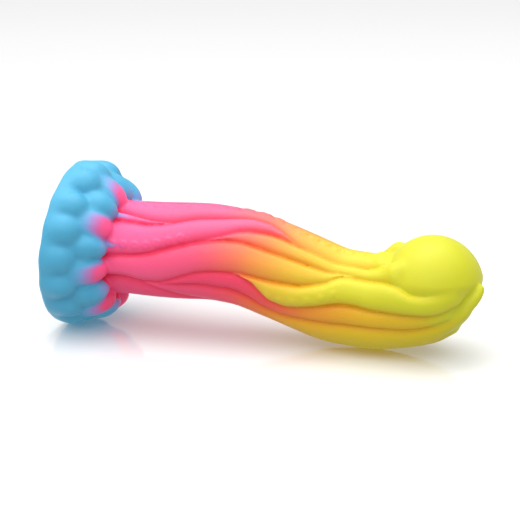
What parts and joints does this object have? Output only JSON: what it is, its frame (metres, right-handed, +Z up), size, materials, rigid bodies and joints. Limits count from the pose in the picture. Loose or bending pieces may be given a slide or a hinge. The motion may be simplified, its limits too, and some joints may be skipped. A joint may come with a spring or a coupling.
{
  "type": "silicone octopus-shaped adult toy",
  "caption": "Soft silicone adult toy shaped as an octopus, with trailing tentacles wound along a curved shaft, a domed head and a lobed suction base.",
  "frame": {"origin": "on the surface the object lies on, under the middle of its bounding box", "axes": "+Z up; +X from the suction base to the head, along the length; -Y is the side seen in the picture"},
  "size_m": [0.2072, 0.0804, 0.0791],
  "materials": {
    "base_blue": "satin",
    "lobe_violet": "satin",
    "core_rose": "satin",
    "arm_pink": "satin",
    "arm_rose": "satin",
    "arm_orange": "satin",
    "arm_amber": "satin",
    "arm_gold": "satin",
    "arm_yellow": "satin",
    "head_yellow": "satin"
  },
  "bodies": {
    "root": {"suction_base": "base_blue", "rim_lobe_1": "base_blue", "rim_lobe_2": "base_blue", "rim_lobe_3": "base_blue", "rim_lobe_4": "base_blue", "rim_lobe_5": "base_blue", "rim_lobe_6": "base_blue", "rim_lobe_7": "base_blue", "rim_lobe_8": "base_blue", "rim_lobe_9": "base_blue", "rim_lobe_10": "base_blue", "rim_lobe_11": "base_blue", "rim_lobe_12": "base_blue", "rim_lobe_13": "base_blue", "rim_lobe_14": "base_blue", "rim_lobe_15": "base_blue", "rim_lobe_16": "base_blue", "rim_lobe_17": "base_blue", "rim_lobe_18": "base_blue", "inner_lobe_1": "base_blue", "inner_lobe_2": "lobe_violet", "inner_lobe_3": "base_blue", "inner_lobe_4": "lobe_violet", "inner_lobe_5": "base_blue", "inner_lobe_6": "lobe_violet", "inner_lobe_7": "base_blue", "inner_lobe_8": "lobe_violet", "inner_lobe_9": "base_blue", "inner_lobe_10": "lobe_violet", "inner_lobe_11": "base_blue", "inner_lobe_12": "lobe_violet", "shaft_core": "core_rose", "tentacle_crest": "arm_pink", "tentacle_upper": "arm_pink", "tentacle_broad": "arm_pink", "tentacle_keel": "arm_rose", "tentacle_root": "arm_orange", "tentacle_belly": "arm_orange", "tentacle_tip": "arm_gold", "tentacle_ribbon": "arm_amber", "tentacle_wave": "arm_yellow", "tentacle_low_back": "arm_orange", "tentacle_wave_back": "arm_yellow", "tentacle_broad_back": "arm_pink", "tentacle_upper_back": "arm_pink", "head": "head_yellow", "brow_front": "head_yellow", "brow_back": "head_yellow"}
  },
  "joints": []
}
